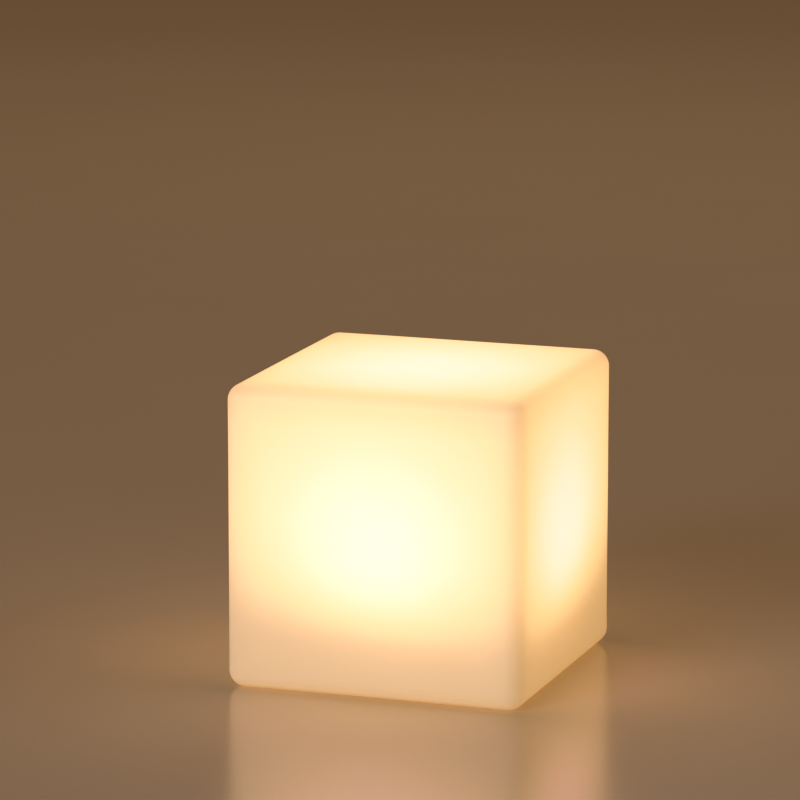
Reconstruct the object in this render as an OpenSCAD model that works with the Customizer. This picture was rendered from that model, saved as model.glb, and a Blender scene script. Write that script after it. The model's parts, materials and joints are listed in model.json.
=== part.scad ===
// Floating pool light: a milky cube shell that screws down over a sealed light core.
// Millimetres, +Z up, origin at the centre of the footprint on the surface it stands on.
// The core stands in the middle of the cube's underside. The shell turns anticlockwise,
// seen from above, climbs its four-start thread and lifts off.

/* [Shell] */
// Side of the cube
side = 200; // [196:1:206]
// Radius of the outer edges and corners
edge_r = 11; // [9:0.5:13]
// Thickness of the side and top walls
wall = 3; // [2.5:0.1:3.5]
// Thickness of the bottom wall
bottom_wall = 4; // [3.6:0.1:4.5]
// Rise of the underside at the middle of each bottom edge
arch_rise = 0.9; // [0.5:0.1:1]

/* [Screw thread between shell and core] */
// Climb of the thread for one full turn
thread_lead = 36; // [34:1:38]
// Angle that each of the four thread lugs covers
thread_arc = 46; // [36:2:54]
// Height of a thread lug and of the rib under it
thread_t = 3; // [2.6:0.1:3.2]
// Gap between moving faces
run_gap = 0.4; // [0.3:0.05:0.45]

/* [Light core] */
// Outer radius of the core's cup
cup_r = 60; // [59.5:0.5:61]
// Wall thickness of the cup
cup_wall = 2.5; // [2:0.1:2.6]
// Radius of the flange under the cup
flange_r = 70; // [69:0.5:71]
// Thickness of the cup's floor and flange
floor_t = 3; // [2.8:0.1:3.2]
// Height of the rubber feet below the flange
foot_h = 1.5; // [1.2:0.1:1.8]
// Height of the top of the core's lid
lid_top = 47; // [46.5:0.5:49]
// Thickness of the core's lid
lid_t = 3; // [2.6:0.1:3.2]

/* [Light source] */
// Number of LED chips in the ring
led_count = 12; // [8:1:12]
// Radius of the ring of LED chips
led_ring_r = 19; // [18:0.5:20]
// Height of the clear cover's crown above the lid
cover_h = 13; // [12.5:0.5:15]

/* [Battery] */
// Radius of a lithium cell
cell_r = 9.2; // [9:0.1:9.3]
// Length of a lithium cell
cell_l = 65; // [64:0.5:66]

/* [Button and charging port] */
// Travel of the power button
button_travel = 0.6; // [0.4:0.1:0.7]
// Radius of the button's face
button_r = 6.6; // [5.5:0.1:6.8]
// Width of the charging socket's mouth
port_w = 9; // [8.6:0.1:9.2]
// Height of the charging socket's mouth
port_h = 3.3; // [3:0.1:3.5]

/* [Hidden] */
round_fn = 96;
small_fn = 32;
eps = 0.01;
snug = 0.05;

// Levels, from the ground up
z_under = foot_h;
z_floor = z_under + floor_t;
seal_room = 2.5;
z_seat = z_floor + seal_room;
z_rim = lid_top - lid_t;
z_boss = z_rim - 4;
z_board = 29;
board_t = 1.6;
z_parts = z_board + board_t;

// Thread and neck radii, from the core outwards
rib_r = cup_r + run_gap;
lug_r = rib_r + 2.7;
neck_r = lug_r + run_gap;
neck_wall = 3;
neck_top = 24.5;
lug_z = 15;
lug_embed = 0.8;
starts = 4;
axial_gap = 0.3;

// Seat of the core's flange inside the neck collar
seat_r = flange_r + 2;
collar_r = seat_r + neck_wall;
collar_z = foot_h;
lap_r = collar_r + 6;
lap_t = 2.5;

// The underside of the shell is a shallow dome, flat on the ground only near the corners
corner_reach = 120;
dome_r = (pow(corner_reach, 2) - pow(side / 2 - edge_r, 2)) / (2 * arch_rise);
dome_steps = 10;
function dome_z(r) = (pow(corner_reach, 2) - r * r) / (2 * dome_r);

// Places inside the core
boss_ring = 52;
boss_r = 4;
pilot_r = 1.25;
post_x = 40;
post_y = 15;
post_r = 3;
board_w = 88;
board_d = 46;
button_y = -38;
port_y = 38;
clamp_y = 25.6;
clamp_z = z_floor + 3.5;
switch_post_x = 9.5;
well_x = 48.75;
well_r = 5.25;
well_half = 8;
well_top = 9;
foot_ring = 62;
foot_r = 5;

// Button, from its face inwards
button_z = z_under + 0.3;
button_cap_t = 1.6;
button_ceiling = button_z + button_cap_t + button_travel + 0.2;
button_boss_top = 9;
stem_r = 3;
stem_fit = 0.05;
groove_z = 6.4;
groove_h = 1.6;
groove_r = 4.6;
stem_top = 10.2;
clip_z = button_boss_top + 0.35;
clip_t = 0.5;
clip_bore = 2.25;
plunger_r = 1.75;
plunger_z = stem_top + 0.15;
switch_z = 11.6;
switch_h = 3.5;
switch_side = 6.2;

// Charging port, from its cover inwards
cover_z = z_under + 0.2;
cover_t = 1.5;
cover_w = 20;
cover_d = 12;
pocket_gap = 0.4;
pocket_z = z_under + 2;
plug_w = port_w + 1.8;
plug_d = port_h + 1.7;
plug_top = 5.3;
ledge_z = 5.5;
nose_w = port_w + 4;
nose_d = port_h + 3.9;
port_boss_top = 9;
ear_x = 10.5;
ear_w = 26;
ear_d = 11;
housing_flange_z = port_boss_top + 1.1;
housing_flange_t = 2;
housing_top = 17;
pin_y = 49;
pin_z = 3.4;
pin_r = 0.75;
pin_half = 7;
eye_r = 1.6;
eye_half = 3.5;
strap_w = 7;
strap_room_y = 53.2;
eye_ceiling = 5.2;

// LED board and clear cover
pad_t = 0.8;
led_z = lid_top + snug + pad_t + snug;
led_board_r = 29.5;
led_top = led_z + board_t;
chip_side = 5;
chip_h = 1.5;
led_screw_ring = 26;
lead_hole_y = -9.5;
lead_hole_r = 5;
cover_in_r = 32;
cover_wall = 2;
cover_out_r = cover_in_r + cover_wall;
cover_flange_r = 43.5;
cover_flange_t = 2.5;
cover_screw_ring = 39.6;
cover_seal_r = 36;

// Battery
cell_y = 10;
cell_nub = 0.7;
cell_z = z_floor + 1.3 + cell_r;
tray_half_x = 36;
tray_half_y = 21;
tray_top = 13;
trough_r = cell_r + 0.1;
trough_half = 33.3;
clamp_half_x = 9;
clamp_t = 1.5;
clamp_top = cell_z + cell_r + 0.2 + clamp_t;

// ---------- Shapes that repeat ----------

function ball_profile(r, n = 16) =
    [for (i = [0:n]) [r * cos(-90 + 180 * i / n), r * sin(-90 + 180 * i / n)]];

module ball(r) {
    rotate_extrude($fn = 32) polygon(ball_profile(r));
}

// A box from low to high with every edge and corner rounded to r
module rounded_box(low, high, r) {
    hull()
        for (x = [low.x + r, high.x - r], y = [low.y + r, high.y - r], z = [low.z + r, high.z - r])
            translate([x, y, z]) ball(r);
}

// A flat outline with round ends, w long in X and d deep in Y
module stadium(w, d) {
    square([w - d, d], center = true);
    for (s = [-1, 1]) translate([s * (w - d) / 2, 0]) circle(d = d, $fn = small_fn);
}

// A plate outline with rounded corners
module plate(w, d, r) {
    square([w - 2 * r, d], center = true);
    square([w, d - 2 * r], center = true);
    for (x = [-1, 1], y = [-1, 1])
        translate([x * (w / 2 - r), y * (d / 2 - r)]) circle(r, $fn = small_fn);
}

module slab(z, h) {
    translate([0, 0, z]) linear_extrude(h) children();
}

module disc(r, z, h) {
    translate([0, 0, z]) cylinder(r = r, h = h, $fn = round_fn);
}

module post(x, y, r, z, top) {
    translate([x, y, z]) cylinder(r = r, h = top - z, $fn = small_fn);
}

module o_ring(r, z, thick) {
    translate([0, 0, z]) rotate_extrude($fn = round_fn) translate([r, 0]) circle(thick / 2, $fn = 24);
}

// A pan-head screw whose head rests on z, with a cross recess
module screw(x, y, z, head_r, shank_r, length) {
    head_h = head_r * 0.62;
    translate([x, y, z]) difference() {
        union() {
            rotate_extrude($fn = small_fn)
                polygon([[0, 0], [head_r, 0], [head_r, head_h * 0.55], [head_r * 0.8, head_h * 0.9],
                    [head_r * 0.55, head_h], [0, head_h]]);
            translate([0, 0, -length]) cylinder(r = shank_r, h = length + eps, $fn = small_fn);
        }
        for (a = [0, 90]) rotate(a)
            translate([0, 0, head_h]) cube([head_r * 1.1, head_r * 0.26, head_h], center = true);
    }
}

// Points of one helical lug: four corners at each step along the thread
function helix_points(r0, r1, z, h, steps) =
    [for (i = [0:steps], c = [[r0, 0], [r0, h], [r1, h], [r1, 0]])
        let (a = thread_arc * i / steps)
            [c[0] * cos(a), c[0] * sin(a), z + c[1] + thread_lead * a / 360]];

function helix_faces(steps) = concat(
    [[0, 1, 2, 3]],
    [for (i = [0:steps - 1], k = [0:3]) [4 * i + k, 4 * i + 4 + k, 4 * i + (k + 1) % 4]],
    [for (i = [0:steps - 1], k = [0:3])
        [4 * i + 4 + k, 4 * i + 4 + (k + 1) % 4, 4 * i + (k + 1) % 4]],
    [[for (k = [3:-1:0]) 4 * steps + k]]);

module helix_lug(r0, r1, z, h, steps = 8) {
    for (s = [0:starts - 1]) rotate(s * 360 / starts)
        polyhedron(helix_points(r0, r1, z, h, steps), helix_faces(steps));
}

// A lead is a round tube swept along a smooth curve through its own few points
function smooth_at(p, i, t) =
    let (n = len(p) - 1, a = p[max(i - 1, 0)], b = p[i], c = p[i + 1], d = p[min(i + 2, n)])
        0.5 * ((2 * b) + (c - a) * t + (2 * a - 5 * b + 4 * c - d) * t * t
            + (3 * b - a - 3 * c + d) * t * t * t);

function smooth_path(p, n) = concat(
    [for (i = [0:len(p) - 2], k = [0:n - 1]) smooth_at(p, i, k / n)], [p[len(p) - 1]]);

function unit(v) = v / norm(v);

function ring_at(path, i, r, sides, across) =
    let (n = len(path) - 1, t = unit(path[min(i + 1, n)] - path[max(i - 1, 0)]),
        u = unit(cross(across, t)), w = cross(t, u))
        [for (k = [0:sides - 1])
            path[i] + r * (cos(360 * k / sides) * u + sin(360 * k / sides) * w)];

module lead(points, d, across = [1, 0, 0], n = 5, sides = 8) {
    path = smooth_path(points, n);
    rings = len(path);
    polyhedron(
        [for (i = [0:rings - 1], q = ring_at(path, i, d / 2, sides, across)) q],
        concat(
            [[for (k = [0:sides - 1]) k]],
            [for (i = [0:rings - 2], k = [0:sides - 1])
                [sides * i + k, sides * i + sides + k, sides * i + (k + 1) % sides]],
            [for (i = [0:rings - 2], k = [0:sides - 1])
                [sides * i + sides + k, sides * i + sides + (k + 1) % sides,
                    sides * i + (k + 1) % sides]],
            [[for (k = [sides - 1:-1:0]) sides * (rings - 1) + k]]));
}

// ---------- Shell ----------

module underside_dome() {
    rotate_extrude($fn = round_fn)
        polygon(concat([[0, -2], [corner_reach, -2]],
            [for (i = [dome_steps:-1:0]) let (r = corner_reach * i / dome_steps) [r, dome_z(r)]]));
}

module shell() color("ivory") difference() {
    rounded_box([-side / 2, -side / 2, 0], [side / 2, side / 2, side], edge_r);
    rounded_box([wall - side / 2, wall - side / 2, bottom_wall],
        [side / 2 - wall, side / 2 - wall, side - wall], edge_r - wall);
    disc(collar_r + snug, -1, bottom_wall + 3);
    underside_dome();
}

// Threaded insert bonded into the hole in the shell's underside
module neck_collar() color("whitesmoke") {
    difference() {
        union() {
            disc(collar_r, collar_z, z_seat + neck_wall - collar_z);
            disc(lap_r, bottom_wall + snug, lap_t);
            disc(neck_r + neck_wall, z_seat, neck_top - z_seat);
        }
        disc(seat_r, 0, z_seat);
        disc(neck_r, 0, neck_top + 1);
    }
    helix_lug(rib_r, neck_r + lug_embed, lug_z - axial_gap - thread_t, thread_t);
}

// Flat rubber ring with a raised bead on each face, between the flange and the collar
module neck_seal() color("dimgray") {
    inner = lug_r + 1.3;
    outer = flange_r - 0.5;
    middle = (inner + outer) / 2;
    low = z_floor + axial_gap;
    high = z_seat - axial_gap;
    rotate_extrude($fn = round_fn)
        polygon([[inner, low + 0.4], [middle - 0.8, low + 0.4], [middle, low],
            [middle + 0.8, low + 0.4], [outer, low + 0.4], [outer, high - 0.4],
            [middle + 0.8, high - 0.4], [middle, high], [middle - 0.8, high - 0.4],
            [inner, high - 0.4]]);
}

// ---------- Core casing ----------

module at_bosses() {
    for (a = [45:90:315]) rotate(a) translate([boss_ring, 0, 0]) children();
}

module cup_wells() {
    for (s = [-1, 1]) translate([s * well_x, 0, 0]) children();
}

// Raised parts on the cup's floor
module cup_inside() {
    at_bosses() post(0, 0, boss_r, z_floor - eps, z_boss - 0.1);
    at_bosses() translate([0, -1, z_floor - eps]) cube([5.8, 2, z_boss - z_floor - 0.1]);
    for (x = [-1, 1], y = [-1, 1]) post(x * post_x, y * post_y, post_r, z_floor - eps, z_board);
    for (y = [-1, 1]) post(0, y * clamp_y, post_r, z_floor - eps, clamp_z);
    for (x = [-1, 1]) post(x * switch_post_x, button_y, 2.6, z_floor - eps, switch_z + switch_h);
    post(0, button_y, 9, z_floor - eps, button_boss_top);
    cup_wells() slab(z_floor - eps, well_top + 2 - z_floor)
        rotate(90) stadium(2 * (well_half + well_r + 2), 2 * (well_r + 2));
    translate([0, port_y, 0]) slab(z_floor - eps, port_boss_top - z_floor + eps)
        plate(ear_w + 2, ear_d + 4, 2);
    translate([0, (port_y + strap_room_y + 2) / 2, 0])
        slab(z_floor - eps, eye_ceiling + 2 - z_floor) plate(18, strap_room_y + 2 - port_y, 1.5);
}

// Everything that is cut from the cup below or through its floor
module cup_cuts() {
    for (a = [45:90:315]) rotate(a) post(foot_ring, 0, foot_r + 0.1, 0, z_under + 0.3);
    cup_wells() slab(0, well_top) rotate(90) stadium(2 * (well_half + well_r), 2 * well_r);
    post(0, button_y, button_r + 0.6, 0, button_ceiling);
    post(0, button_y, stem_r + stem_fit, 0, button_boss_top + 1);
    post(0, button_y, groove_r, groove_z - groove_h / 2, groove_z + groove_h / 2);
    translate([0, port_y, 0]) {
        slab(0, pocket_z) plate(cover_w + 2 * pocket_gap, cover_d + 2 * pocket_gap, 4);
        slab(0, ledge_z) stadium(plug_w + 0.6, plug_d + 0.6);
        slab(ledge_z - eps, port_boss_top) stadium(nose_w + 0.4, nose_d + 0.4);
    }
    translate([-strap_w / 2 - 0.6, port_y, 0]) cube([strap_w + 1.2, pin_y - port_y, pocket_z]);
    translate([-strap_w / 2 - 0.6, pin_y - eye_r - 0.6, 0])
        cube([strap_w + 1.2, strap_room_y - pin_y + eye_r + 0.6, eye_ceiling]);
    translate([-pin_half, pin_y, pin_z]) rotate([0, 90, 0])
        cylinder(r = pin_r, h = 2 * pin_half, $fn = small_fn);
    translate([-pin_half, pin_y - pin_r * 0.8, 0]) cube([2 * pin_half, pin_r * 1.6, pin_z]);
    at_bosses() post(0, 0, pilot_r, z_boss - 12, z_boss + 1);
    for (x = [-1, 1], y = [-1, 1])
        post(x * post_x, y * post_y, pilot_r, z_board - 9, z_board + 1);
    for (y = [-1, 1]) post(0, y * clamp_y, pilot_r - 0.25, z_floor - 1.5, clamp_z + 1);
    for (x = [-1, 1])
        post(x * switch_post_x, button_y, pilot_r - 0.25, z_floor + 2, switch_z + switch_h + 1);
    for (x = [-1, 1]) post(x * ear_x, port_y, pilot_r - 0.25, z_floor - 1, port_boss_top + 1);
}

module base_cup() color("white") {
    difference() {
        union() {
            rotate_extrude($fn = round_fn)
                polygon([[0, z_under], [flange_r - 0.8, z_under], [flange_r, z_under + 0.8],
                    [flange_r, z_floor - 0.5], [flange_r - 0.5, z_floor], [cup_r, z_floor],
                    [cup_r, z_rim], [cup_r - cup_wall, z_rim], [cup_r - cup_wall, z_floor],
                    [0, z_floor]]);
            cup_inside();
        }
        cup_cuts();
    }
    helix_lug(cup_r - lug_embed, lug_r, lug_z, thread_t);
}

module base_feet() color("dimgray")
    for (a = [45:90:315]) rotate(a) translate([foot_ring, 0, 0])
        rotate_extrude($fn = small_fn)
            polygon([[0, 0], [foot_r - 0.6, 0], [foot_r, 0.5], [foot_r, z_under + 0.25],
                [0, z_under + 0.25]]);

module core_lid() color("white") difference() {
    union() {
        rotate_extrude($fn = round_fn)
            polygon([[0, z_rim], [cup_r - cup_wall - 2.7, z_rim], [cup_r - cup_wall - 2.7, z_boss],
                [cup_r - cup_wall - 0.2, z_boss], [cup_r - cup_wall - 0.2, z_rim + snug],
                [cup_r, z_rim + snug], [cup_r, lid_top - 1], [cup_r - 1, lid_top], [0, lid_top]]);
        at_bosses() post(0, 0, boss_r, z_boss, z_rim + 1);
        for (a = [0:90:270]) rotate(a) post(cover_screw_ring, 0, 3.2, z_rim - 5, z_rim + 1);
        for (a = [90:120:330]) rotate(a) post(led_screw_ring, 0, 3, z_rim - 3, z_rim + 1);
    }
    at_bosses() post(0, 0, 1.7, z_boss - 1, lid_top + 1);
    for (a = [0:90:270]) rotate(a) post(cover_screw_ring, 0, pilot_r, z_rim - 4, lid_top + 1);
    for (a = [90:120:330]) rotate(a) post(led_screw_ring, 0, pilot_r, z_rim - 2, lid_top + 1);
    post(0, lead_hole_y, lead_hole_r, z_rim - 1, lid_top + 1);
    difference() {
        disc(cover_seal_r + 0.9, lid_top - 1.4, 2);
        disc(cover_seal_r - 0.9, lid_top - 2, 3);
    }
    difference() {
        disc(cup_r - cup_wall, z_rim - 3, 1.5);
        disc(cup_r - cup_wall - 1.1, z_rim - 4, 3);
    }
}

module lid_seal() color("dimgray") o_ring(cup_r - cup_wall - 0.56, z_rim - 2.25, 1);

module lid_screws() color("silver")
    at_bosses() screw(0, 0, lid_top, 3, pilot_r, 14);

// ---------- Light source ----------

module thermal_pad() color("lightsteelblue") difference() {
    disc(led_board_r - 0.5, lid_top + snug, pad_t);
    post(0, lead_hole_y, lead_hole_r + 1.8, lid_top - 1, led_z);
    for (a = [90:120:330]) rotate(a) post(led_screw_ring, 0, 1.8, lid_top - 1, led_z);
}

module led_board() color("white") difference() {
    disc(led_board_r, led_z, board_t);
    post(0, lead_hole_y, 3.6, led_z - 1, led_top + 1);
    for (a = [90:120:330]) rotate(a) post(led_screw_ring, 0, 1.7, led_z - 1, led_top + 1);
}

module at_chips() {
    for (i = [0:led_count - 1]) rotate((i + 0.5) * 360 / led_count)
        translate([led_ring_r, 0, led_top]) children();
}

module led_chips() color("lightyellow") at_chips() difference() {
    translate([0, 0, chip_h / 2]) cube([chip_side, chip_side, chip_h], center = true);
    translate([0, 0, chip_h - 0.3]) cylinder(r1 = 1.8, r2 = 2.15, h = 0.31, $fn = small_fn);
}

module led_board_screws() color("silver")
    for (a = [90:120:330]) rotate(a) screw(led_screw_ring, 0, led_top, 2.6, pilot_r, 6);

// Remote-control receiver: a small block with a domed window facing up
module ir_receiver() color("black") translate([0, 4, led_top]) {
    difference() {
        union() {
            translate([0, 0, 2.2]) cube([5.6, 5.2, 3.2], center = true);
            translate([0, 0, 3.8 - eps]) rotate_extrude($fn = small_fn)
                polygon(concat([[0, 0]], [for (i = [0:8]) [2.2 * cos(i * 11.25), 1.6 * sin(i * 11.25)]]));
        }
        for (x = [-1, 1]) translate([x * 2.8, 2.6, 0]) cube([0.8, 0.8, 12], center = true);
    }
    for (x = [-1.8, 0, 1.8]) translate([x, 0, 0.35]) cube([0.5, 1.2, 0.7], center = true);
}

function dome_arc(r, z0, h, n = 18) =
    [for (i = [0:n]) [r * cos(90 * i / n), z0 + h * sin(90 * i / n)]];

module led_cover() color("azure", 0.6) {
    z0 = lid_top + snug;
    spring_z = z0 + cover_flange_t + 1.2;
    crown = cover_h - cover_flange_t - 1.2;
    difference() {
        rotate_extrude($fn = round_fn)
            polygon(concat([[cover_in_r, z0], [cover_flange_r, z0],
                [cover_flange_r, z0 + cover_flange_t - 0.6],
                [cover_flange_r - 0.6, z0 + cover_flange_t], [cover_out_r, z0 + cover_flange_t]],
                dome_arc(cover_out_r, spring_z, crown),
                [for (i = [18:-1:0]) dome_arc(cover_in_r, spring_z, crown - cover_wall)[i]]));
        for (a = [0:90:270]) rotate(a) post(cover_screw_ring, 0, 1.7, z0 - 1, z0 + 4);
    }
}

module cover_seal() color("dimgray") o_ring(cover_seal_r, lid_top - 0.66, 1.4);

module cover_screws() color("silver")
    for (a = [0:90:270]) rotate(a)
        screw(cover_screw_ring, 0, lid_top + snug + cover_flange_t, 2.9, pilot_r, 9);

module lead_grommet() color("dimgray") translate([0, lead_hole_y, 0]) {
    bore = 3.3;
    neck = lead_hole_r - snug;
    rotate_extrude($fn = small_fn)
        polygon([[bore, z_rim - 1], [neck + 1, z_rim - 1], [neck + 1.4, z_rim - snug],
            [neck, z_rim - snug], [neck, lid_top + snug], [neck + 1.4, lid_top + snug],
            [neck + 1, lid_top + 0.8], [bore, lid_top + 0.8]]);
}

// ---------- Battery ----------

module along_x(r, half, y, z) {
    translate([-half, y, z]) rotate([0, 90, 0]) cylinder(r = r, h = 2 * half, $fn = round_fn);
}

module battery_tray() color("slategray") difference() {
    slab(z_floor + snug, tray_top - z_floor) plate(2 * tray_half_x, 2 * tray_half_y, 2);
    for (s = [-1, 1]) along_x(trough_r, trough_half, s * cell_y, cell_z);
    for (s = [-1, 1]) translate([s * trough_half, 0, tray_top]) cube([20, 10, 8], center = true);
}

module battery_cells() color("steelblue") for (s = [-1, 1]) {
    along_x(cell_r, cell_l / 2 - cell_nub, s * cell_y, cell_z);
    translate([cell_l / 2 - cell_nub - eps, s * cell_y, cell_z]) rotate([0, 90, 0])
        cylinder(r = 2.9, h = cell_nub, $fn = small_fn);
}

module battery_tabs() color("silver") {
    tab_t = 0.3;
    for (x = [cell_l / 2 + tab_t / 2 + snug, cell_nub - cell_l / 2 - tab_t / 2 - snug])
        translate([x, 0, cell_z]) cube([tab_t, 2 * cell_y + 7, 6], center = true);
}

module protection_board() color("seagreen") {
    board_z = 21.9;
    translate([0, 0, board_z]) linear_extrude(0.9) plate(44, 7, 0.6);
    for (x = [-13, 12]) translate([x, 0, board_z + 1.3]) cube([5, 4, 1], center = true);
    for (x = [-4.5, 4, 18]) translate([x, 0, board_z + 1.15]) cube([2, 1.3, 0.7], center = true);
}

// Sprung strap over both cells, screwed to the cup's floor
module battery_clamp() color("gainsboro") difference() {
    leg_y = tray_half_y + 0.3;
    rotate([90, 0, 90]) translate([0, 0, -clamp_half_x])
        linear_extrude(2 * clamp_half_x) {
            translate([-leg_y - clamp_t, clamp_top - clamp_t])
                square([2 * (leg_y + clamp_t), clamp_t]);
            for (s = [-1, 1]) {
                translate([s > 0 ? leg_y : -leg_y - clamp_t, clamp_z])
                    square([clamp_t, clamp_top - clamp_z]);
                translate([s > 0 ? leg_y : -leg_y - 7, clamp_z]) square([7, clamp_t]);
            }
        }
    for (y = [-1, 1]) post(0, y * clamp_y, 1.4, clamp_z - 1, clamp_z + 3);
}

module clamp_screws() color("silver")
    for (y = [-1, 1]) screw(0, y * clamp_y, clamp_z + clamp_t, 2.4, pilot_r - 0.25, 5);

battery_plug = [-30, -13, z_parts + 7];

module battery_lead_red() color("red")
    lead([[-20, 1.6, 23.6], [-24, 1.8, 26], [-35, 0, 27.2], [-46.5, -3, 29], [-48.5, -9, 34],
        [-42, -12.5, 39.8], [-34, -13.5, 40.8], [-31.25, -13, 38.6], [-31.25, -13, 36.2]], 1.6,
        [0, 1, 0.35]);

module battery_lead_black() color("black")
    lead([[-20, -1.6, 23.6], [-24, -1.8, 26], [-36, -4, 27], [-46.5, -8, 29], [-47.5, -13, 34],
        [-38, -15.5, 39], [-31.5, -14.8, 40.4], [-28.75, -13, 39.2], [-28.75, -13, 36.2]], 1.6,
        [0, 1, 0.35]);

// ---------- Control board ----------

module control_board() color("darkgreen") difference() {
    slab(z_board, board_t) plate(board_w, board_d, 3);
    for (x = [-1, 1], y = [-1, 1])
        post(x * post_x, y * post_y, 1.7, z_board - 1, z_parts + 1);
}

module board_screws() color("silver")
    for (x = [-1, 1], y = [-1, 1]) screw(x * post_x, y * post_y, z_parts, 2.8, pilot_r, 7);

// A flat chip with rows of legs along its long sides
module chip(x, y, w, d, h, legs) {
    translate([x, y, z_parts]) {
        translate([0, 0, 0.15 + h / 2]) cube([w, d, h], center = true);
        for (i = [0:legs - 1], s = [-1, 1])
            translate([(i + 0.5) * w / legs - w / 2, s * (d / 2 + 0.5), 0.3])
                cube([0.4, 1.2, 0.3], center = true);
    }
}

module board_chips() color("dimgray") {
    chip(-6, 4, 10, 4, 1.5, 8);
    chip(23, -8, 5, 4, 1.4, 4);
    for (i = [0:3]) chip(-24 + 5 * i, -4, 3, 1.4, 1, 2);
}

module board_capacitors() color("slategray")
    for (x = [12, 24]) translate([x, 8, z_parts]) rotate_extrude($fn = small_fn)
        polygon([[0, 0], [3.5, 0], [3.5, 0.8], [3.15, 1], [3.15, 7.2], [2.9, 7.6], [0, 7.6]]);

module board_inductor() color("dimgray") translate([32, -5, z_parts]) {
    slab(0, 0.8) plate(7.4, 7.4, 1.2);
    cylinder(r = 3.2, h = 3.8, $fn = small_fn);
    slab(3.4, 0.6) plate(7.4, 7.4, 1.2);
}

// A pin header's plug and socket, open at the top where the leads go in
module connector(x, y, pins) {
    w = 2.5 * pins + 2.4;
    translate([x, y, z_parts]) difference() {
        translate([0, 0, 3.5]) cube([w, 5.8, 7], center = true);
        for (i = [0:pins - 1])
            translate([(i + 0.5 - pins / 2) * 2.5, 0, 5.2]) cylinder(r = 0.95, h = 3, $fn = 24);
    }
}

switch_plug = [-12, -17.5, z_parts + 7];
led_plug = [8, -17.5, z_parts + 7];
charge_plug = [10, 18.2, z_parts + 7];

module board_connectors() color("ivory") {
    connector(battery_plug.x, battery_plug.y, 2);
    connector(switch_plug.x, switch_plug.y, 2);
    connector(led_plug.x, led_plug.y, 4);
    connector(charge_plug.x, charge_plug.y, 4);
}

// Four leads side by side from the control board, through the grommet, to the LED board
module led_leads() color("firebrick") for (i = [0:3]) {
    x = (i - 1.5) * 1.5;
    plug_x = led_plug.x + (i - 1.5) * 2.5;
    lead([[plug_x, led_plug.y, led_plug.z - 1.4], [plug_x, led_plug.y, led_plug.z + 1],
        [plug_x - 1, led_plug.y + 1.2, led_plug.z + 2.8],
        [(x + plug_x) / 2 - 0.5, lead_hole_y - 4, z_rim - 3.2],
        [x, lead_hole_y, z_rim - 1], [x, lead_hole_y, lid_top + 0.5],
        [x, lead_hole_y, led_top + 0.8], [x * 1.3, lead_hole_y - 2.6, led_top + 2.2],
        [x * 1.7, lead_hole_y - 5, led_top + 1.6], [x * 1.8, lead_hole_y - 5.4, led_top + 0.3]],
        1.2, [1, 0, 0], 4);
}

// ---------- Power button ----------

module power_button() color("lightgray") translate([0, button_y, 0]) {
    rotate_extrude($fn = small_fn)
        polygon([[0, button_z + 0.35], [3.6, button_z + 0.1], [4.4, button_z],
            [button_r - 0.5, button_z], [button_r, button_z + 0.5],
            [button_r, button_z + button_cap_t], [stem_r, button_z + button_cap_t],
            [stem_r, clip_z - snug], [clip_bore - snug, clip_z - snug],
            [clip_bore - snug, clip_z + clip_t + snug], [stem_r - 0.2, clip_z + clip_t + snug],
            [stem_r - 0.4, stem_top], [0, stem_top]]);
}

module button_seal() color("dimgray")
    translate([0, button_y, 0]) o_ring(stem_r + 0.8, groove_z, 1.44);

module button_clip() color("silver") translate([0, button_y, clip_z]) difference() {
    cylinder(r = 4.8, h = clip_t, $fn = small_fn);
    translate([0, 0, -1]) cylinder(r = clip_bore, h = 3, $fn = small_fn);
    translate([0, 3.4, 0]) cube([2.6, 5, 4], center = true);
}

module switch_board() color("darkgreen") translate([0, button_y, 0]) difference() {
    slab(switch_z + switch_h, board_t) plate(26, 12, 2);
    for (x = [-1, 1])
        post(x * switch_post_x, 0, 1.3, switch_z + switch_h - 1, switch_z + switch_h + 3);
}

module switch_body() color("dimgray") translate([0, button_y, 0]) difference() {
    translate([0, 0, switch_z + switch_h / 2])
        cube([switch_side, switch_side, switch_h], center = true);
    post(0, 0, plunger_r + stem_fit, switch_z - 1, plunger_z + 2 + button_travel + 0.1);
}

module switch_plunger() color("black") translate([0, button_y, plunger_z])
    cylinder(r = plunger_r, h = 2, $fn = small_fn);

module switch_screws() color("silver")
    for (x = [-1, 1])
        screw(x * switch_post_x, button_y, switch_z + switch_h + board_t, 2.2, pilot_r - 0.25, 8);

module switch_leads() color("goldenrod") for (s = [-1, 1]) {
    top = switch_z + switch_h + board_t;
    plug_x = switch_plug.x + s * 1.25;
    lead([[s * 1.6 - 3, button_y, top + 0.1], [s * 1.6 - 3, button_y, top + 2],
        [s * 1.4 - 4, button_y - 0.5, top + 8], [s * 1.3 - 6, button_y + 3, top + 16],
        [s * 1.25 - 9, button_y + 9, top + 22.5], [plug_x + 0.2, switch_plug.y - 3, switch_plug.z + 2.6],
        [plug_x, switch_plug.y, switch_plug.z + 1.4], [plug_x, switch_plug.y, switch_plug.z - 1.4]],
        1.3);
}

// ---------- Charging port ----------

module charge_housing() color("dimgray") translate([0, port_y, 0]) difference() {
    union() {
        slab(ledge_z + 0.1, housing_top - ledge_z - 0.1) stadium(nose_w, nose_d);
        slab(housing_flange_z, housing_flange_t) plate(ear_w, ear_d, 3);
    }
    slab(0, housing_top - 2) stadium(port_w + 0.1, port_h + 0.1);
    for (x = [-1, 1]) post(x * ear_x, 0, 1.3, housing_flange_z - 1, housing_flange_z + 4);
    for (i = [0:3]) post((i - 1.5) * 2, 0, 0.7, housing_top - 1.2, housing_top + 1);
}

module charge_shell() color("silver") translate([0, port_y, 0]) difference() {
    slab(ledge_z + 0.5, 8.5) stadium(port_w, port_h);
    slab(ledge_z, 8.5) stadium(port_w - 0.6, port_h - 0.6);
}

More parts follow.
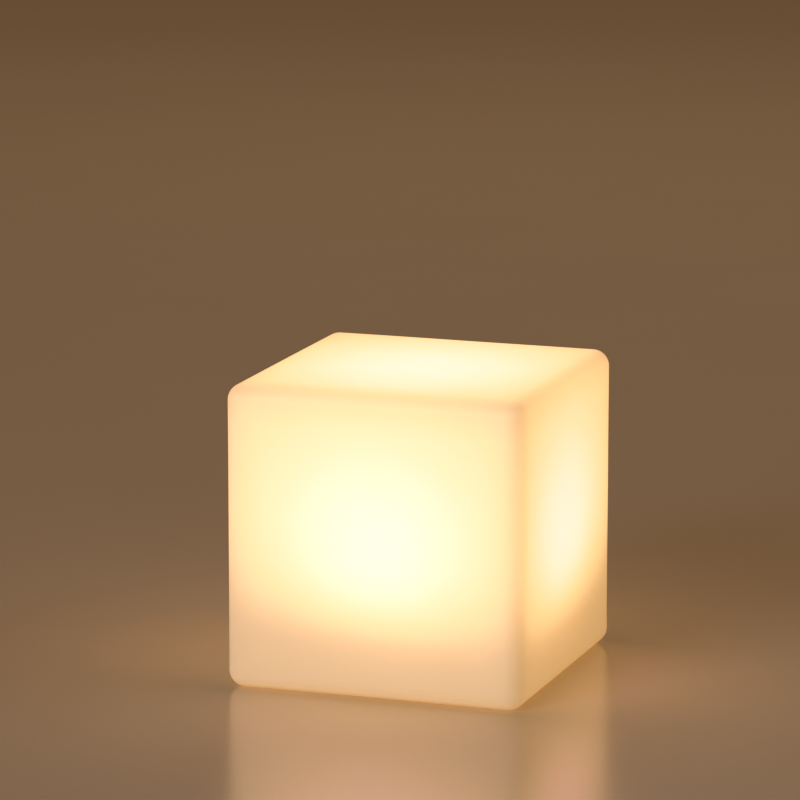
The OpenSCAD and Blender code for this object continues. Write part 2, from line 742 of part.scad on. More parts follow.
module charge_tongue() color("black")
    translate([0, port_y, ledge_z + 4.9]) cube([6.7, 0.7, 7], center = true);

module charge_seal() color("dimgray") translate([0, port_y, 0]) difference() {
    slab(port_boss_top + snug, 1) stadium(nose_w + 3.2, nose_d + 3.2);
    slab(port_boss_top - 1, 4) stadium(nose_w + 0.4, nose_d + 0.4);
}

module charge_screws() color("silver")
    for (x = [-1, 1])
        screw(x * ear_x, port_y, housing_flange_z + housing_flange_t, 2.2, pilot_r - 0.25, 8);

module charge_leads() color("firebrick") for (i = [0:3]) {
    x = (i - 1.5) * 2;
    plug_x = charge_plug.x + (i - 1.5) * 2.5;
    lead([[x, port_y, housing_top - 1.1], [x, port_y, housing_top + 2],
        [x + 0.6, port_y + 1, housing_top + 9], [x + 3, port_y - 2, housing_top + 17],
        [(x + plug_x) / 2 + 3, port_y - 9, housing_top + 22.4],
        [plug_x + 0.3, charge_plug.y + 3.2, charge_plug.z + 2.6],
        [plug_x, charge_plug.y, charge_plug.z + 1.4],
        [plug_x, charge_plug.y, charge_plug.z - 1.4]], 1.3);
}

// Soft cover: lid, plug and strap in one piece, turning on its pin
module port_cover() color("gray") difference() {
    union() {
        translate([0, port_y, 0]) {
            slab(cover_z, cover_t) plate(cover_w, cover_d, 3.6);
            slab(cover_z + cover_t - eps, plug_top - cover_z - cover_t) stadium(plug_w, plug_d);
        }
        translate([-strap_w / 2, port_y, cover_z]) cube([strap_w, pin_y - port_y, cover_t]);
        translate([-eye_half, pin_y, pin_z]) rotate([0, 90, 0])
            cylinder(r = eye_r, h = 2 * eye_half, $fn = small_fn);
    }
    translate([-eye_half - 1, pin_y, pin_z]) rotate([0, 90, 0])
        cylinder(r = pin_r + stem_fit, h = 2 * eye_half + 2, $fn = small_fn);
    translate([0, port_y - cover_d / 2 - 0.6, cover_z]) cube([9, 3, 1.2], center = true);
}

module port_pin() color("silver") translate([-pin_half + 0.1, pin_y, pin_z]) rotate([0, 90, 0])
    cylinder(r = pin_r, h = 2 * pin_half - 0.2, $fn = small_fn);

shell();
neck_collar();
neck_seal();
base_cup();
base_feet();
core_lid();
lid_seal();
lid_screws();
thermal_pad();
led_board();
led_chips();
led_board_screws();
ir_receiver();
led_cover();
cover_seal();
cover_screws();
lead_grommet();
led_leads();
battery_tray();
battery_cells();
battery_tabs();
protection_board();
battery_clamp();
clamp_screws();
battery_lead_red();
battery_lead_black();
control_board();
board_screws();
board_chips();
board_capacitors();
board_inductor();
board_connectors();
power_button();
button_seal();
button_clip();
switch_board();
switch_body();
switch_plunger();
switch_screws();
switch_leads();
charge_housing();
charge_shell();
charge_tongue();
charge_seal();
charge_screws();
charge_leads();
port_cover();
port_pin();
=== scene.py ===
"""Looks of a floating pool light: a milky cube that glows from the LED board of its light core."""

import json
import math

import bmesh
import bpy
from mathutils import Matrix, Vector, noise


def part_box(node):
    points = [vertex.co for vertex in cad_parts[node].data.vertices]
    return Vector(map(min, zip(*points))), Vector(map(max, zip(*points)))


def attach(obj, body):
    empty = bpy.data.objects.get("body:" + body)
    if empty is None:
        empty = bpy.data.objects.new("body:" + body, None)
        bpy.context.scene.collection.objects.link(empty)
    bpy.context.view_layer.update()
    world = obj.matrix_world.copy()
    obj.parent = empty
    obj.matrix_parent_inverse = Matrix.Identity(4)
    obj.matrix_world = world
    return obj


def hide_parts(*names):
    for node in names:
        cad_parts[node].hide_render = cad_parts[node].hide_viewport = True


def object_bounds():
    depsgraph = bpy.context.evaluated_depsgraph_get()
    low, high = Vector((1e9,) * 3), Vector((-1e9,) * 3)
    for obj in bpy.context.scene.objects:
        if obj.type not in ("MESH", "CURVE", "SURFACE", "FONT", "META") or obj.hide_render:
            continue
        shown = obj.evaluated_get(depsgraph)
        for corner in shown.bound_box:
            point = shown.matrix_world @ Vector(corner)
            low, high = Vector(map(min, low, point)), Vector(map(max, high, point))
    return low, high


# Shell, in metres
EDGE_R = 0.011
INNER_EDGE_R = 0.008
WALL = 0.003
BOTTOM_WALL = 0.004
HOLE_R = 0.07505
ARCH_REACH = 0.12
ARCH_R = 3.5994
WAVE_SIZE = 0.06
WAVE_DEPTH = 0.00012

# Mesh of the shell: grid steps, and how far the first line in from each rounded edge lies
FLAT_STEPS = 28
ARC_STEPS = 7
HOLE_RINGS = 5
SUPPORT = 0.0008

# Glow of the shell, with lengths in halves of the cube's side
HALF = 0.1
SOURCE_Z = 0.487
SOURCE_SPREAD = 0.138
SOURCE_AXIS = (0.075, -0.075, 1.0)
CENTRE_Z = 1.0
SPILL = 1.24
SPILL_SHADE = 0.5
BEAM = 24.6
EDGE_START = 0.7
EDGE_DIM = 0.41
CORNER_DIM = 0.2
CLOUD = 0.015
GLOW_RANGE = 4.0

# How much of the light is left, as a face turns from one slope (Z of its normal) to another
TOP_SLOPES, TOP_DIM = (0.3, 1.0), 0.82
UNDER_SLOPES, UNDER_DIM = (-0.95, -0.7), 0.1

# Colour of the glow for each level of light
GLOW_STOPS = [
    (0.15, (0.31, 0.17, 0.06)),
    (0.30, (0.49, 0.275, 0.092)),
    (0.38, (0.60, 0.335, 0.12)),
    (0.46, (0.73, 0.415, 0.155)),
    (0.56, (0.92, 0.535, 0.215)),
    (0.68, (1.15, 0.631, 0.262)),
    (0.80, (1.40, 0.715, 0.38)),
    (0.88, (1.60, 0.79, 0.53)),
    (0.94, (1.70, 0.83, 0.66)),
]
SHELL_SOCKETS = {"Roughness": 0.52, "Specular IOR Level": 0.2, "Emission Strength": 1.0}
SHELL_BODY = (233, 229, 221)

# Camera
CAMERA_PLACE = (0.9986, -2.9184, 0.7217)
CAMERA_YAW = math.radians(19.15)
CAMERA_PITCH = math.radians(11.80)
CAMERA_LENS = 217.9
CAMERA_REACH = 100

# Studio: each light's name, place, size in metres, power in watts and colour
LIGHTS = [
    ("key", (-0.9, -2.6, 1.1), 1.2, 17, (0.88, 0.90, 1.0)),
    ("fill", (2.4, 0.4, 1.8), 1.4, 3.2, (1.0, 0.96, 0.88)),
    ("back", (-0.6, 2.4, 1.9), 1.2, 5, (1.0, 0.84, 0.66)),
]
LED_LIGHT_Z = 0.0620
LED_LIGHT_R = 0.028
LED_POWER = 0.05
LED_COLOUR = (1.0, 0.78, 0.5)
WORLD_COLOUR = (160, 124, 88)
WORLD_STRENGTH = 0.4
FLOOR_HALF = 60.0
FLOOR_COLOUR = (228, 210, 180)
FLOOR_GLOSS = {"Specular IOR Level": 1.0, "IOR": 1.62}
FLOOR_ROUGHNESS = (0.18, 0.26)

# Light core, in metres
SLEEVE_END = 0.0314
SLEEVE_RIM = 0.0018
CHIP_RING = 0.019
CHIP_COUNT = 12
CHIP_WELL_R = 0.0019
CHIP_WELL_RIM = 0.00025
BUTTON_PLACE = (0, -0.038, 0)
BUTTON_RING_PITCH = 0.0006
SHARP = 0.0002

# Where the LED leads run: at the plug's pitch below, bundled above, and fanned out at the LED board
PLUG_Z, BUNDLE_Z, BOARD_Z = 0.0386, 0.043, 0.047
PLUG_X, BUNDLE_X = 0.008, 0.0
PLUG_PITCH, BUNDLE_PITCH = 0.0025, 0.0015
FAN_Y = (-0.0095, -0.0149)
FAN_WIDEN = 1.8

# Most of a noise texture's values lie between these two
NOISE_LOW, NOISE_HIGH = 0.3, 0.7


def rgb(red, green, blue):
    """Linear colour of a screen colour given in 0 to 255."""
    parts = [value / 255 for value in (red, green, blue)]
    return tuple(p / 12.92 if p <= 0.04045 else ((p + 0.055) / 1.055) ** 2.4 for p in parts)


# ---------- Shell ----------


def steps_between(low, high, radius):
    """Places of the grid lines along a side: even on the flat, even in angle round the edges."""
    first, last = low + radius, high - radius
    bend = [radius * math.tan(math.radians(45) * i / ARC_STEPS) for i in range(ARC_STEPS, 0, -1)]
    flat = [first + (last - first) * i / FLAT_STEPS for i in range(FLAT_STEPS + 1)]
    inner = [first + SUPPORT, *flat[1:-1], last - SUPPORT]
    return [first - b for b in bend] + [first, *inner, last] + [last + b for b in reversed(bend)]


def arch(point):
    """Lowest the underside reaches at a point: it rises towards the middle as a shallow dome."""
    return (ARCH_REACH**2 - point.x**2 - point.y**2) / (2 * ARCH_R)


def rounded_box(bm, low, high, radius, arched):
    """Adds a rounded box with a round hole in its bottom, and returns the hole's vertices."""
    lines = [steps_between(a, b, radius) for a, b in zip(low, high)]
    last = len(lines[0]) - 1
    inside_low, inside_high = low + Vector((radius,) * 3), high - Vector((radius,) * 3)

    def settle(point):
        if arched:
            point.z = max(point.z, arch(point))
        return point

    def on_surface(key):
        place = Vector([line[k] for line, k in zip(lines, key)])
        core = Vector([min(max(p, a), b) for p, a, b in zip(place, inside_low, inside_high)])
        return settle(core + radius * (place - core).normalized())

    vertices = {}

    def vertex(*key):
        if key not in vertices:
            vertices[key] = bm.verts.new(on_surface(key))
        return vertices[key]

    flat_first, flat_last = ARC_STEPS, last - ARC_STEPS
    for i in range(last):
        for j in range(last):
            corners = [(i, j), (i + 1, j), (i + 1, j + 1), (i, j + 1)]
            bm.faces.new([vertex(a, b, last) for a, b in corners])
            for side in (0, last):
                bm.faces.new([vertex(side, a, b) for a, b in corners])
                bm.faces.new([vertex(a, side, b) for a, b in corners])
            if not all(flat_first <= k < flat_last for k in (i, j)):
                bm.faces.new([vertex(a, b, 0) for a, b in corners])

    run = range(flat_first, flat_last)
    square = [vertex(i, flat_first, 0) for i in run] + [vertex(flat_last, i, 0) for i in run]
    square += [vertex(flat_last + flat_first - i, flat_last, 0) for i in run]
    square += [vertex(flat_first, flat_last + flat_first - i, 0) for i in run]
    ring = square
    for step in range(1, HOLE_RINGS + 1):
        share = step / HOLE_RINGS
        inner = []
        for v in square:
            on_circle = HOLE_R * v.co.xy.normalized()
            across = v.co.xy.lerp(on_circle, share)
            inner.append(bm.verts.new(settle(Vector((across.x, across.y, low.z)))))
        join(bm, ring, inner)
        ring = inner
    return ring


def join(bm, ring, other):
    """Faces between two closed rings of the same number of vertices."""
    for a in range(len(ring)):
        b = (a + 1) % len(ring)
        bm.faces.new([ring[a], ring[b], other[b], other[a]])


def make_shell():
    """The milky shell: one skin, open at the neck, with the slight waviness of rotomoulding."""
    low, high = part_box("shell")
    bm = bmesh.new()
    outer = rounded_box(bm, low, high, EDGE_R, True)
    inset = Vector((WALL, WALL, BOTTOM_WALL))
    inner = rounded_box(bm, low + inset, high - Vector((WALL,) * 3), INNER_EDGE_R, False)
    join(bm, outer, inner)
    bmesh.ops.recalc_face_normals(bm, faces=bm.faces)
    bm.normal_update()
    hole = {v for v in outer + inner}
    for v in bm.verts:
        if v not in hole and v.co.z > BOTTOM_WALL + EDGE_R:
            v.co -= v.normal * WAVE_DEPTH * (1 + noise.noise(v.co / WAVE_SIZE))
    for edge in bm.edges:
        edge.smooth = not all(v in hole for v in edge.verts)
    for face in bm.faces:
        face.smooth = True
    mesh = bpy.data.meshes.new("milky_cube")
    bm.to_mesh(mesh)
    bm.free()
    piece = bpy.data.objects.new("milky_cube", mesh)
    bpy.context.scene.collection.objects.link(piece)
    mesh.materials.append(milky_shell())
    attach(piece, "cube_shell")
    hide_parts("shell")


# ---------- Material helpers ----------


class Look:
    """A material of one Principled shader, with short calls that add the nodes which feed it."""

    def __init__(self, name, settings=None):
        self.material = bpy.data.materials.new(name)
        self.material.use_nodes = True
        self.tree = self.material.node_tree
        self.shader = self.tree.nodes["Principled BSDF"]
        places = self.tree.nodes.new("ShaderNodeTexCoord")
        self.place, self.normal = places.outputs["Object"], places.outputs["Normal"]
        for socket, value in (settings or {}).items():
            self.shader.inputs[socket].default_value = value

    def node(self, kind, inputs, **settings):
        made = self.tree.nodes.new(kind)
        for setting, value in settings.items():
            setattr(made, setting, value)
        for key, value in inputs.items():
            if isinstance(value, bpy.types.NodeSocket):
                self.tree.links.new(value, made.inputs[key])
            else:
                made.inputs[key].default_value = value
        return made

    def feed(self, socket, value):
        self.tree.links.new(value, self.shader.inputs[socket])

    def math(self, operation, *values):
        return self.node("ShaderNodeMath", dict(enumerate(values)), operation=operation).outputs[0]

    def vector(self, operation, a, b=(0, 0, 0)):
        made = self.node("ShaderNodeVectorMath", {0: a, 1: b}, operation=operation)
        return made.outputs["Value" if operation in ("LENGTH", "DOT_PRODUCT") else "Vector"]

    def scaled(self, vector, factor):
        made = self.node("ShaderNodeVectorMath", {0: vector, "Scale": factor}, operation="SCALE")
        return made.outputs["Vector"]

    def parts(self, vector):
        return self.node("ShaderNodeSeparateXYZ", {0: vector}).outputs

    def step(self, value, start, end):
        """0 below start and 1 above end, smoothly. With start above end it falls instead."""
        inputs = {"Value": value, "From Min": start, "From Max": end}
        return self.node("ShaderNodeMapRange", inputs, interpolation_type="SMOOTHSTEP").outputs[0]

    def span(self, value, start, end, low, high):
        """Low to high in a straight line as value goes from start to end."""
        inputs = {"Value": value, "From Min": start, "From Max": end, "To Min": low, "To Max": high}
        return self.node("ShaderNodeMapRange", inputs).outputs[0]

    def noise(self, size, detail=3.0, stretch=(1, 1, 1)):
        """Noise with features about size metres across, longer along an axis stretched below 1."""
        inputs = {"Vector": self.vector("MULTIPLY", self.place, stretch), "Scale": 1 / size}
        return self.node("ShaderNodeTexNoise", {**inputs, "Detail": detail}).outputs[0]

    def uneven(self, texture, low, high):
        """Low to high over most of a noise texture's values."""
        return self.span(texture, NOISE_LOW, NOISE_HIGH, low, high)

    def cells(self, size):
        """Distance to the nearest of scattered points about size apart, in shares of size."""
        made = self.node("ShaderNodeTexVoronoi", {"Vector": self.place, "Scale": 1 / size})
        return made.outputs["Distance"]

    def mix(self, share, a, b):
        inputs = {0: share, 6: (*a, 1) if isinstance(a, tuple) else a}
        inputs[7] = (*b, 1) if isinstance(b, tuple) else b
        return self.node("ShaderNodeMix", inputs, data_type="RGBA").outputs[2]

    def tones(self, texture, colour, drift):
        """A colour that drifts a little darker and lighter with a texture."""
        return self.mix(texture, tinted(colour, 1 - drift), tinted(colour, 1 + drift))

    def ramp(self, value, stops):
        """A colour for each value, from (place, colour) pairs."""
        made = self.node("ShaderNodeValToRGB", {0: value})
        elements = made.color_ramp.elements
        while len(elements) < len(stops):
            elements.new(0.5)
        for element, (place, colour) in zip(elements, stops):
            element.position = place
            element.color = (*colour, 1)
        return made.outputs["Color"]

    def bump(self, height, depth):
        made = self.node("ShaderNodeBump", {"Height": height, "Distance": depth})
        if self.shader.inputs["Normal"].is_linked:
            before = self.shader.inputs["Normal"].links[0].from_socket
            self.tree.links.new(before, made.inputs["Normal"])
        self.feed("Normal", made.outputs[0])


def tinted(colour, factor):
    """A colour made lighter or darker."""
    return tuple(min(1.0, c * factor) for c in colour)


def moulded(name, colour, rough, grain=0.0005, depth=0.00002, drift=0.08, settings=None):
    """Moulded plastic or rubber: a fine grain, soft drifts of tone, and uneven gloss."""
    look = Look(name, settings)
    fine, broad = look.noise(grain), look.noise(grain * 60, 2)
    look.feed("Base Color", look.tones(broad, colour, drift))
    look.feed("Roughness", look.uneven(fine, rough - 0.07, rough + 0.07))
    look.bump(fine, depth)
    return look


def metal(name, colour, rough, stretch, size=0.0004):
    """Bare metal with fine lines along one axis and faint stains."""
    look = Look(name, {"Metallic": 1.0})
    lines, stains = look.noise(size, 4, stretch), look.noise(size * 20)
    look.feed("Base Color", look.mix(stains, tinted(colour, 0.82), colour))
    look.feed("Roughness", look.uneven(lines, rough - 0.09, rough + 0.09))
    look.bump(lines, 0.00001)
    return look


# ---------- Shell material ----------


def beam(look):
    """Light straight from the upward-facing LED board, shared out evenly round the edges."""
    place = look.scaled(look.place, 1 / HALF)
    ray = look.vector("SUBTRACT", place, (0, 0, SOURCE_Z))
    distance = look.vector("LENGTH", ray)
    square_on = look.math("ABSOLUTE", look.vector("DOT_PRODUCT", ray, look.normal))
    bend = look.vector("DOT_PRODUCT", look.vector("ABSOLUTE", look.normal), (1, 1, 1))
    facing = look.math("DIVIDE", square_on, bend)
    rise = look.math("DIVIDE", look.vector("DOT_PRODUCT", ray, SOURCE_AXIS), distance)
    spread = look.math("SQRT", look.math("MULTIPLY_ADD", rise, rise, SOURCE_SPREAD**2))
    upward = look.math("MULTIPLY", look.math("ADD", rise, spread), 0.5)
    near = look.math("POWER", distance, -3.0)
    reaching = look.math("MULTIPLY", look.math("MULTIPLY", upward, facing), near)
    return look.math("MULTIPLY", reaching, BEAM)


def edge_shade(look):
    """How much of the light is left towards the edges and corners, from 1 in a face's middle."""
    place = look.vector("SUBTRACT", look.scaled(look.place, 1 / HALF), (0, 0, CENTRE_Z))
    x, y, z = look.parts(look.vector("ABSOLUTE", place))
    inner, outer = look.math("MINIMUM", x, y), look.math("MAXIMUM", x, y)
    second = look.math("MAXIMUM", inner, look.math("MINIMUM", outer, z))
    shade = 1.0
    for reach, dim in ((second, EDGE_DIM), (look.math("MINIMUM", inner, z), CORNER_DIM)):
        near = look.math("POWER", look.span(reach, EDGE_START, 1.0, 0.0, 1.0), 2.0)
        shade = look.math("MULTIPLY_ADD", near, -dim, shade)
    return shade


def milky_shell():
    """Milky polyethylene lit from inside, warm white where bright and orange where dim."""
    look = Look("milky_shell", SHELL_SOCKETS)
    shade = edge_shade(look)
    spill = look.span(shade, 0.0, 1.0, SPILL * SPILL_SHADE, SPILL)
    light = look.math("MULTIPLY_ADD", beam(look), shade, spill)
    slope = look.parts(look.normal)["Z"]
    for left in (
        look.uneven(look.noise(0.035, 4), 1 - CLOUD, 1 + CLOUD),
        look.span(slope, *TOP_SLOPES, 1.0, TOP_DIM),
        look.span(slope, *UNDER_SLOPES, UNDER_DIM, 1.0),
    ):
        light = look.math("MULTIPLY", light, left)
    dimness = look.math("EXPONENT", look.math("MULTIPLY", light, -1 / GLOW_RANGE))
    look.feed("Emission Color", look.ramp(look.math("SUBTRACT", 1.0, dimness), GLOW_STOPS))
    look.feed("Base Color", look.tones(look.noise(0.004, 5), rgb(*SHELL_BODY), 0.015))
    look.bump(look.noise(0.0011, 3), 0.000012)
    look.bump(look.noise(0.02, 2), 0.00012)
    return look.material


# ---------- Materials of the light core ----------


def collar_plastic():
    return moulded("collar_plastic", rgb(236, 232, 222), 0.42, grain=0.0008)


def core_plastic():
    """White housing with a spark-eroded texture and a little dust."""
    look = moulded("core_plastic", rgb(229, 228, 222), 0.5, grain=0.00035, depth=0.00003)
    look.bump(look.noise(0.0016, 2), 0.00003)
    return look


def seal_rubber():
    return moulded("seal_rubber", rgb(58, 58, 60), 0.68, grain=0.0003, drift=0.2)


def foot_rubber():
    return moulded("foot_rubber", rgb(66, 66, 67), 0.8, grain=0.0006, depth=0.00005, drift=0.22)


def screw_steel():
    return metal("screw_steel", rgb(196, 196, 192), 0.28, (1, 1, 0.3), 0.0002)


def thermal_silicone():
    """Soft pad full of pale filler grains."""
    look = moulded("thermal_silicone", rgb(150, 166, 178), 0.75, grain=0.0004)
    grains = look.step(look.cells(0.0007), 0.35, 0.2)
    look.feed("Base Color", look.mix(grains, rgb(142, 158, 170), rgb(186, 196, 204)))
    return look


def tracks(look, mask, copper, width, height):
    """Colour of a circuit board: solder mask, thin tracks under it and scattered plated holes."""
    colours = {"Color1": mask, "Color2": tinted(mask, 0.9), "Mortar": tinted(mask, 1.5)}
    inputs = {socket: (*colour, 1) for socket, colour in colours.items()}
    inputs.update({"Vector": look.place, "Scale": 100.0, "Mortar Size": 0.02})
    inputs.update({"Brick Width": width, "Row Height": height, "Mortar Smooth": 0.2})
    lines = look.node("ShaderNodeTexBrick", inputs).outputs["Color"]
    holes = look.step(look.cells(0.0042), 0.11, 0.08)
    look.feed("Base Color", look.mix(holes, lines, copper))
    look.feed("Metallic", holes)
    look.bump(holes, -0.00003)
    return look


def led_mask():
    look = Look("led_mask", {"Roughness": 0.32})
    return tracks(look, rgb(222, 222, 216), rgb(190, 180, 150), 1.1, 0.34)


def circuit_board():
    look = Look("circuit_board", {"Roughness": 0.3})
    return tracks(look, rgb(22, 86, 46), rgb(205, 165, 92), 0.46, 0.13)


def led_phosphor():
    """White chip frames with a lit yellow well in each, and a faint painted glow on the frames."""
    look = Look("led_phosphor", {"Roughness": 0.5, "Emission Strength": 1.0})
    x, y, _ = look.parts(look.place)
    pitch = 2 * math.pi / CHIP_COUNT
    turn = look.math("DIVIDE", look.math("ARCTAN2", y, x), pitch)
    off_turn = look.math("SUBTRACT", look.math("FRACT", turn), 0.5)
    off_side = look.math("MULTIPLY", off_turn, pitch * CHIP_RING)
    flat_place = look.vector("MULTIPLY", look.place, (1, 1, 0))
    off_ring = look.math("SUBTRACT", look.vector("LENGTH", flat_place), CHIP_RING)
    sides = look.node("ShaderNodeCombineXYZ", {0: off_side, 1: off_ring}).outputs[0]
    from_centre = look.vector("LENGTH", sides)
    well = look.step(from_centre, CHIP_WELL_R + CHIP_WELL_RIM, CHIP_WELL_R)
    grains = look.uneven(look.noise(0.0002), 0.9, 1.0)
    look.feed("Base Color", look.mix(well, rgb(238, 236, 228), rgb(240, 205, 90)))
    # Painted glow: outside the wells the frames emit a faint warm light, standing for the wells'
    # light scattered into them.
    lit = look.mix(well, rgb(120, 100, 70), (1.0, 0.86, 0.6))
    look.feed("Emission Color", look.mix(grains, rgb(200, 160, 90), lit))
    return look


def black_epoxy():
    return moulded("black_epoxy", rgb(30, 30, 32), 0.45, grain=0.00025, drift=0.15)


def clear_cover():
    """Clear polycarbonate with faint flow marks."""
    look = Look("clear_cover", {"Transmission Weight": 1.0, "IOR": 1.58})
    flow = look.noise(0.012, 2, (1, 1, 0.4))
    look.feed("Base Color", look.mix(flow, (0.90, 0.92, 0.93), (0.96, 0.97, 0.98)))
    look.feed("Roughness", look.uneven(look.noise(0.0007), 0.03, 0.09))
    look.bump(flow, 0.00005)
    return look


def tray_plastic():
    return moulded("tray_plastic", rgb(92, 97, 106), 0.55, grain=0.0004)


def cell_sleeve():
    """Shrink sleeve with pale insulating ends, over the steel of the can."""
    look = Look("cell_sleeve")
    along, _, _ = look.parts(look.vector("ABSOLUTE", look.place))
    rim_start = SLEEVE_END - SLEEVE_RIM
    bare = look.step(along, SLEEVE_END, SLEEVE_END + SHARP)
    rim = look.step(along, rim_start, rim_start + SHARP)
    wrinkle = look.noise(0.0025, 3, (0.15, 1, 1))
    sleeve = look.mix(wrinkle, rgb(44, 96, 160), rgb(58, 116, 184))
    banded = look.mix(rim, sleeve, rgb(214, 216, 214))
    look.feed("Base Color", look.mix(bare, banded, rgb(190, 188, 180)))
    look.feed("Metallic", bare)
    look.feed("Roughness", look.uneven(wrinkle, 0.25, 0.4))
    look.bump(wrinkle, 0.00004)
    return look


def nickel():
    return metal("nickel", rgb(200, 194, 180), 0.3, (1, 0.1, 1))


def capacitor_can():
    """Dark sleeve round the can, bare aluminium on top."""
    look = Look("capacitor_can")
    top = look.step(look.parts(look.normal)["Z"], 0.6, 0.8)
    fine = look.noise(0.0003)
    look.feed("Base Color", look.mix(top, rgb(34, 36, 44), rgb(198, 200, 204)))
    look.feed("Metallic", top)
    look.feed("Roughness", look.uneven(fine, 0.28, 0.42))
    look.bump(fine, 0.00001)
    return look


def ferrite():
    return moulded("ferrite", rgb(62, 60, 60), 0.6, grain=0.0003, depth=0.00004, drift=0.2)


def connector_nylon():
    return moulded("connector_nylon", rgb(232, 226, 206), 0.45)


def button_plastic():
    """Satin cap with fine turned rings under the finger."""
    look = moulded("button_plastic", rgb(196, 198, 200), 0.4)
    centred = look.vector("SUBTRACT", look.place, BUTTON_PLACE)
    radius = look.vector("LENGTH", look.vector("MULTIPLY", centred, (1, 1, 0)))
    rings = look.math("MULTIPLY", radius, 2 * math.pi / BUTTON_RING_PITCH)
    look.bump(look.math("SINE", rings), 0.00002)
    return look


def plunger_plastic():
    return moulded("plunger_plastic", rgb(44, 42, 42), 0.5)


def socket_plastic():
    return moulded("socket_plastic", rgb(42, 42, 44), 0.42)


def socket_steel():
    return metal("socket_steel", rgb(186, 186, 188), 0.25, (1, 1, 0.12))


def cover_silicone():
    """Soft grey silicone that has picked up a little lint."""
    look = moulded("cover_silicone", rgb(140, 142, 144), 0.74, grain=0.0005, depth=0.00003)
    lint = look.step(look.cells(0.0024), 0.09, 0.05)
    look.feed("Roughness", look.span(lint, 0.0, 1.0, 0.72, 0.9))
    return look


def insulation(name, colour):
    """Wire insulation: glossy, with a fine grain."""
    return moulded(name, colour, 0.34, grain=0.0004, depth=0.00001, settings={"Coat Weight": 0.2})


def lead_red():
    return insulation("lead_red", rgb(186, 32, 26))


def lead_black():
    return insulation("lead_black", rgb(34, 34, 36))


def lead_yellow():
    return insulation("lead_yellow", rgb(222, 168, 40))


def lead_ribbon():
    """Four leads side by side, a colour each, told apart by where they run."""
    look = Look("lead_ribbon", {"Roughness": 0.34, "Coat Weight": 0.2})
    x, y, z = look.parts(look.place)
    middle = look.span(z, PLUG_Z, BUNDLE_Z, PLUG_X, BUNDLE_X)
    pitch = look.span(z, PLUG_Z, BUNDLE_Z, PLUG_PITCH, BUNDLE_PITCH)
    fan = look.span(y, *FAN_Y, 1.0, FAN_WIDEN)
    widen = look.math("POWER", fan, look.math("GREATER_THAN", z, BOARD_Z))
    off_middle = look.math("SUBTRACT", x, middle)
    lane = look.math("DIVIDE", off_middle, look.math("MULTIPLY", pitch, widen))
    colours = [rgb(186, 32, 26), rgb(34, 34, 36), rgb(226, 224, 216), rgb(40, 92, 170)]
    count = len(colours)
    share = look.span(lane, -count / 2, count / 2, 0.0, 1.0)
    made = look.ramp(share, [(i / count, colour) for i, colour in enumerate(colours)])
    made.node.color_ramp.interpolation = "CONSTANT"
    fine = look.noise(0.0004)
    look.feed("Base Color", look.mix(look.uneven(fine, 0.0, 0.08), made, rgb(120, 116, 110)))
    look.bump(fine, 0.00001)
    return look


CORE_LOOKS = [
    collar_plastic, core_plastic, seal_rubber, foot_rubber, screw_steel, thermal_silicone,
    led_mask, led_phosphor, black_epoxy, clear_cover, tray_plastic, cell_sleeve, nickel,
    circuit_board, capacitor_can, ferrite, connector_nylon, button_plastic, plunger_plastic,
    socket_plastic, socket_steel, cover_silicone, lead_red, lead_black, lead_yellow, lead_ribbon,
]


def dress_core(frame):
    """Gives every CAD node the material of its slot in the record."""
    made = {look.__name__: look().material for look in CORE_LOOKS}
    for part in frame["record"]["subparts"]:
        if part["material_slot"] in made:
            for slot in frame["nodes"][part["node"]].material_slots:
                slot.material = made[part["material_slot"]]


# ---------- Stage ----------


def make_camera(middle):
    data = bpy.data.cameras.new("camera")
    data.lens = CAMERA_LENS
    data.clip_end = CAMERA_REACH
    camera = bpy.data.objects.new("camera", data)
    bpy.context.scene.collection.objects.link(camera)
    camera.location = middle + Vector(CAMERA_PLACE)
    camera.rotation_euler = (math.radians(90) - CAMERA_PITCH, 0, CAMERA_YAW)
    bpy.context.scene.camera = camera


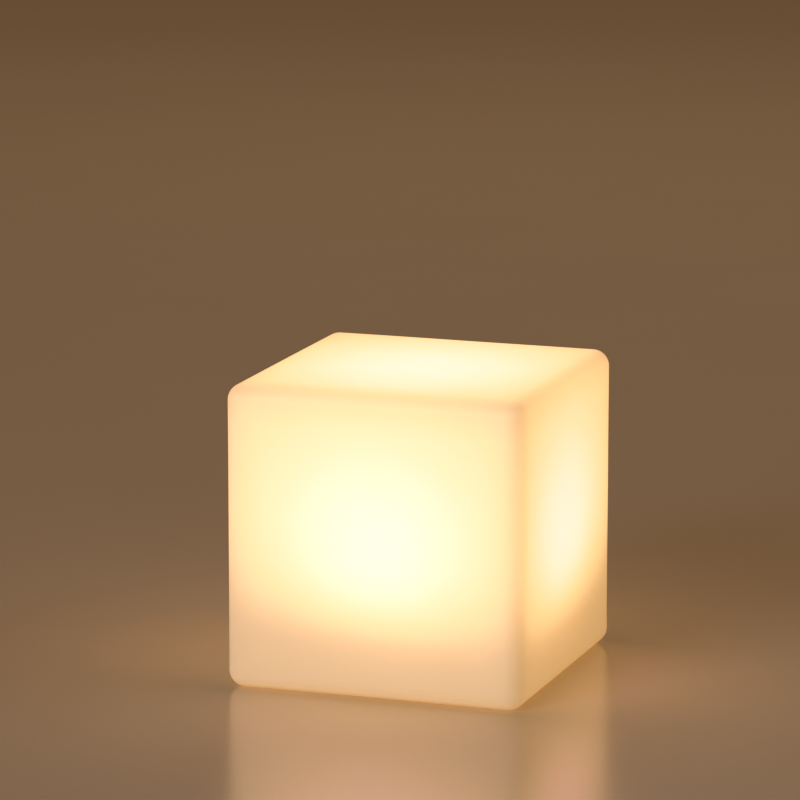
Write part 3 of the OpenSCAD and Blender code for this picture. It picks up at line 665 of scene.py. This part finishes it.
def make_floor():
    """A wide pale satin floor, seen from above only."""
    bm = bmesh.new()
    corners = [(-1, -1), (1, -1), (1, 1), (-1, 1)]
    bm.faces.new([bm.verts.new((x * FLOOR_HALF, y * FLOOR_HALF, 0)) for x, y in corners])
    mesh = bpy.data.meshes.new("floor")
    bm.to_mesh(mesh)
    bm.free()
    floor = bpy.data.objects.new("floor", mesh)
    bpy.context.scene.collection.objects.link(floor)
    look = Look("floor", FLOOR_GLOSS)
    look.feed("Base Color", look.tones(look.noise(0.3, 2), rgb(*FLOOR_COLOUR), 0.02))
    look.feed("Roughness", look.span(look.noise(0.2, 1), 0.0, 1.0, *FLOOR_ROUGHNESS))
    below = look.node("ShaderNodeNewGeometry", {}).outputs["Backfacing"]
    clear = look.node("ShaderNodeBsdfTransparent", {}).outputs[0]
    seen = look.node("ShaderNodeMixShader", {0: below, 1: look.shader.outputs[0], 2: clear})
    output = look.tree.nodes["Material Output"]
    look.tree.links.new(seen.outputs[0], output.inputs["Surface"])
    mesh.materials.append(look.material)


def area_light(name, place, aim, size, power, colour):
    """A soft square light that the camera doesn't see."""
    data = bpy.data.lights.new(name, "AREA")
    data.size = size
    data.energy = power
    data.color = colour
    light = bpy.data.objects.new(name, data)
    bpy.context.scene.collection.objects.link(light)
    light.location = place
    light.rotation_euler = (Vector(aim) - Vector(place)).to_track_quat("-Z", "Y").to_euler()
    light.visible_camera = False
    return light


def make_lights(middle):
    for name, place, size, power, colour in LIGHTS:
        area_light(name, place, middle, size, power, colour)
    place = (0, 0, LED_LIGHT_Z)
    leds = area_light("leds", place, (0, 0, 1), 2 * LED_LIGHT_R, LED_POWER, LED_COLOUR)
    leds.data.shape = "DISK"


def make_world():
    world = bpy.data.worlds.new("studio")
    world.use_nodes = True
    background = world.node_tree.nodes["Background"]
    background.inputs["Color"].default_value = (*rgb(*WORLD_COLOUR), 1)
    background.inputs["Strength"].default_value = WORLD_STRENGTH
    bpy.context.scene.world = world


with open("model.json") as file:
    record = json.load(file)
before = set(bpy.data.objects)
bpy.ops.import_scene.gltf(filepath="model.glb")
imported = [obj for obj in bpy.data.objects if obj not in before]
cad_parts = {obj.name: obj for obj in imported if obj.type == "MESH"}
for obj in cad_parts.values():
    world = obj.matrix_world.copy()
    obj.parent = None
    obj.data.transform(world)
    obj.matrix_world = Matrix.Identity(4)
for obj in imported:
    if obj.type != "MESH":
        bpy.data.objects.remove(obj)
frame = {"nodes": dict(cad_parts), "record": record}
cad_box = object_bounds()
centre = (cad_box[0] + cad_box[1]) / 2
bpy.context.scene.view_settings.view_transform = "Standard"
make_camera(centre)
make_world()
make_floor()
make_lights(centre)
make_shell()
dress_core(frame)
